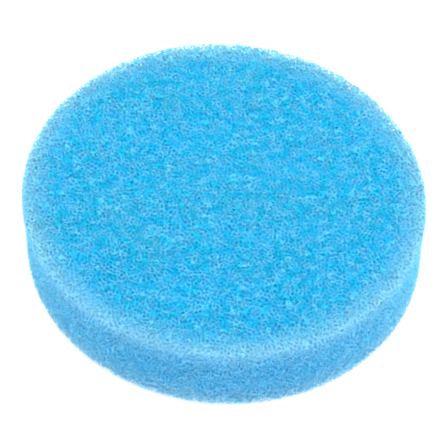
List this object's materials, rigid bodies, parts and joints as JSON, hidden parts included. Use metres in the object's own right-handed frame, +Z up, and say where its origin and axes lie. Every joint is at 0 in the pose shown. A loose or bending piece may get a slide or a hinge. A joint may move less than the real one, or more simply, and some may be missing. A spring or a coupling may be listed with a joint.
{
  "type": "round sponge filter pad",
  "caption": "Round disc of coarse open-cell foam, a replaceable mechanical and biological filter pad for pond and aquarium filters.",
  "frame": {"origin": "centre of the disc's underside", "axes": "+Z up along the disc's own axis; X and Y are any two directions across it"},
  "size_m": [0.12, 0.12, 0.025],
  "materials": {
    "blue_foam": "matte open-cell foam"
  },
  "bodies": {
    "root": {"foam_disc": "blue_foam"}
  },
  "joints": []
}
